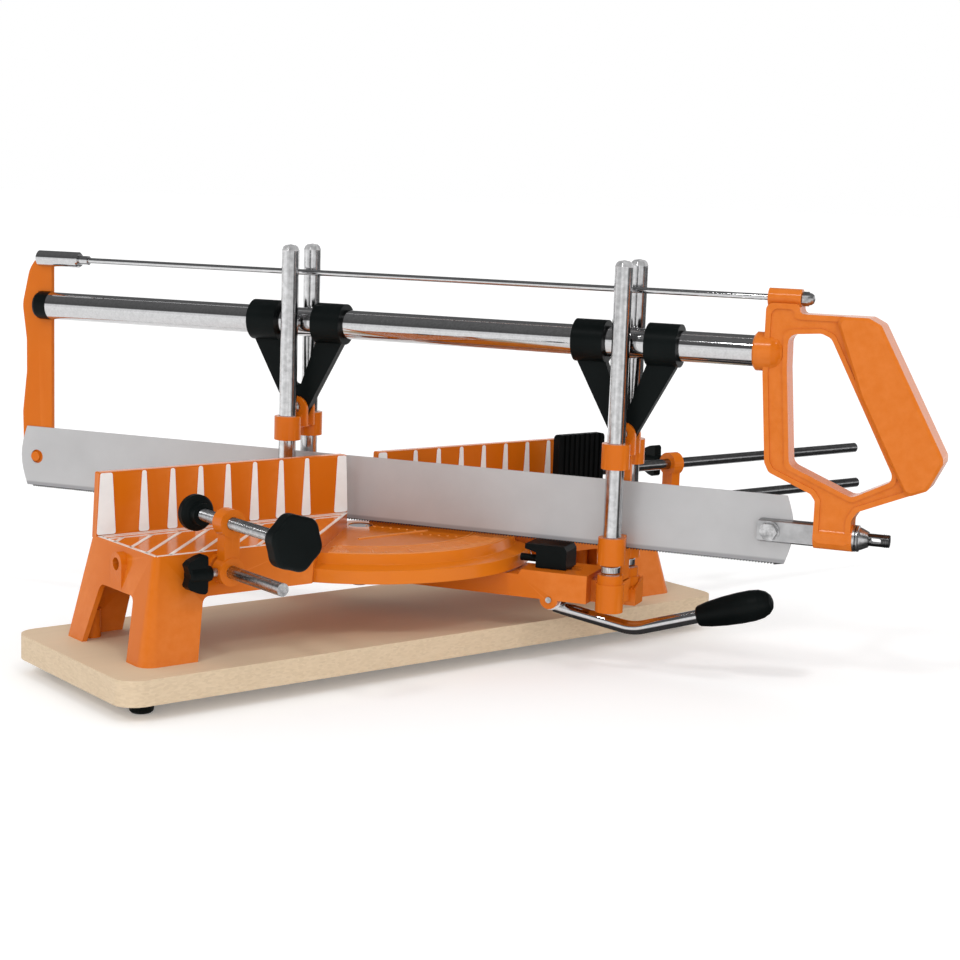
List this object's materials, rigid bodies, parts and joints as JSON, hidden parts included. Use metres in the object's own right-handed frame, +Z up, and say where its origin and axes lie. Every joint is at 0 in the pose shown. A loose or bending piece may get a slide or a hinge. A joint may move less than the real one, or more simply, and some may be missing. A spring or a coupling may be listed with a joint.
{
  "type": "mitre box saw",
  "caption": "Orange mitre box saw on a wooden board: swivelling arm with chrome guide posts, bow saw, scale plate, work clamp and length stop",
  "frame": {"origin": "centre of the bottom of the bounding box, on the bench", "axes": "X along the fence to the length stop, Y to the back, Z up"},
  "size_m": [0.732, 0.5943, 0.2733],
  "materials": {
    "particle_board": "smooth pale board with a speckled edge",
    "black_rubber": "soft, slightly shiny",
    "orange_paint": "glossy paint on a casting",
    "zinc_steel": "bright zinc plating",
    "polished_chrome": "polished",
    "blade_steel": "fine satin grinding",
    "black_plastic": "satin moulded plastic"
  },
  "bodies": {
    "base": {"board": "particle_board", "rubber_feet": "black_rubber", "left_table": "orange_paint", "right_table": "orange_paint", "scale_plate": "orange_paint", "base_screws": "zinc_steel", "pivot_bolt": "zinc_steel", "pivot_nut": "zinc_steel", "clamp_rod": "zinc_steel", "stop_rail": "zinc_steel"},
    "arm": {"swivel_arm": "orange_paint", "guide_posts": "polished_chrome", "blade_guides": "orange_paint", "lever_pin": "zinc_steel"},
    "latch": {"index_latch": "black_plastic", "latch_pin": "zinc_steel"},
    "lever": {"lock_lever": "polished_chrome", "lever_grip": "black_rubber"},
    "rear_carriage": {"rear_slider": "orange_paint", "rear_v_guide": "black_plastic", "rear_guide_screw": "zinc_steel"},
    "front_carriage": {"front_slider": "orange_paint", "front_v_guide": "black_plastic", "front_guide_screw": "zinc_steel"},
    "saw": {"frame_tube": "polished_chrome", "tube_cap": "black_plastic", "tip_arm": "orange_paint", "tension_rod": "polished_chrome", "rod_fork": "polished_chrome", "cap_nut": "zinc_steel", "handle": "orange_paint", "blade": "blade_steel", "blade_strap": "zinc_steel", "blade_bolt": "zinc_steel", "blade_nut": "zinc_steel", "strap_washer": "zinc_steel"},
    "tension_nut": {"cone_nut": "zinc_steel"},
    "clamp": {"clamp_bracket": "orange_paint"},
    "pad": {"clamp_pad": "black_plastic"},
    "spindle": {"clamp_spindle": "zinc_steel", "clamp_knob": "black_plastic"},
    "clamp_lock": {"clamp_wing": "black_plastic", "clamp_wing_stem": "zinc_steel"},
    "stop": {"stop_bracket": "orange_paint"},
    "stop_bar": {"stop_rod": "zinc_steel", "stop_block": "black_plastic"},
    "stop_lock": {"stop_wing": "black_plastic", "stop_wing_stem": "zinc_steel"}
  },
  "joints": [
    {"name": "arm_swivel", "type": "hinge", "parent": "base", "child": "arm", "pos_m": [-0.124, 0.0509, 0.0625], "axis": [0, 0, 1], "range_deg": [-68, 15]},
    {"name": "latch_pull", "type": "slide", "parent": "arm", "child": "latch", "axis": [0.5, -0.866, 0], "range_m": [0, 0.006], "stiffness_N_per_m": 200, "springref_m": -0.01},
    {"name": "lever_lift", "type": "hinge", "parent": "arm", "child": "lever", "pos_m": [-0.05, -0.07727, 0.0473], "axis": [-0.866, -0.5, 0], "range_deg": [0, 5]},
    {"name": "rear_lift", "type": "slide", "parent": "arm", "child": "rear_carriage", "axis": [0, 0, 1], "range_m": [0, 0.1]},
    {"name": "front_lift", "type": "slide", "parent": "arm", "child": "front_carriage", "axis": [0, 0, 1], "range_m": [0, 0.1]},
    {"name": "saw_stroke", "type": "slide", "parent": "rear_carriage", "child": "saw", "axis": [0.5, -0.866, 0], "range_m": [-0.042, 0.163]},
    {"name": "tension_turn", "type": "hinge", "parent": "saw", "child": "tension_nut", "pos_m": [0.04925, -0.24918, 0.1055], "axis": [0.5, -0.866, 0], "continuous": true},
    {"name": "clamp_slide", "type": "slide", "parent": "base", "child": "clamp", "axis": [0, -1, 0], "range_m": [-0.003, 0.05]},
    {"name": "pad_press", "type": "slide", "parent": "clamp", "child": "pad", "axis": [0, -1, 0], "range_m": [-0.042, 0.02]},
    {"name": "spindle_turn", "type": "hinge", "parent": "pad", "child": "spindle", "pos_m": [-0.284, -0.0491, 0.11], "axis": [0, -1, 0], "range_deg": [-12096, 5760]},
    {"name": "clamp_lock_turn", "type": "hinge", "parent": "clamp", "child": "clamp_lock", "pos_m": [-0.3, -0.0391, 0.08], "axis": [-1, 0, 0], "range_deg": [0, 30]},
    {"name": "stop_slide", "type": "slide", "parent": "base", "child": "stop", "axis": [1, 0, 0], "range_m": [-0.055, 0.2]},
    {"name": "stop_reach", "type": "slide", "parent": "stop", "child": "stop_bar", "axis": [1, 0, 0], "range_m": [-0.06, 0.07]},
    {"name": "stop_lock_turn", "type": "hinge", "parent": "stop", "child": "stop_lock", "pos_m": [0.148, 0.0389, 0.11], "axis": [0, 1, 0], "range_deg": [-90, 90]}
  ],
  "couplings": [
    {"joint": "front_lift", "follows": "rear_lift", "ratio": 1},
    {"joint": "spindle_turn", "follows": "pad_press", "rad_per_m": 5026.5}
  ]
}
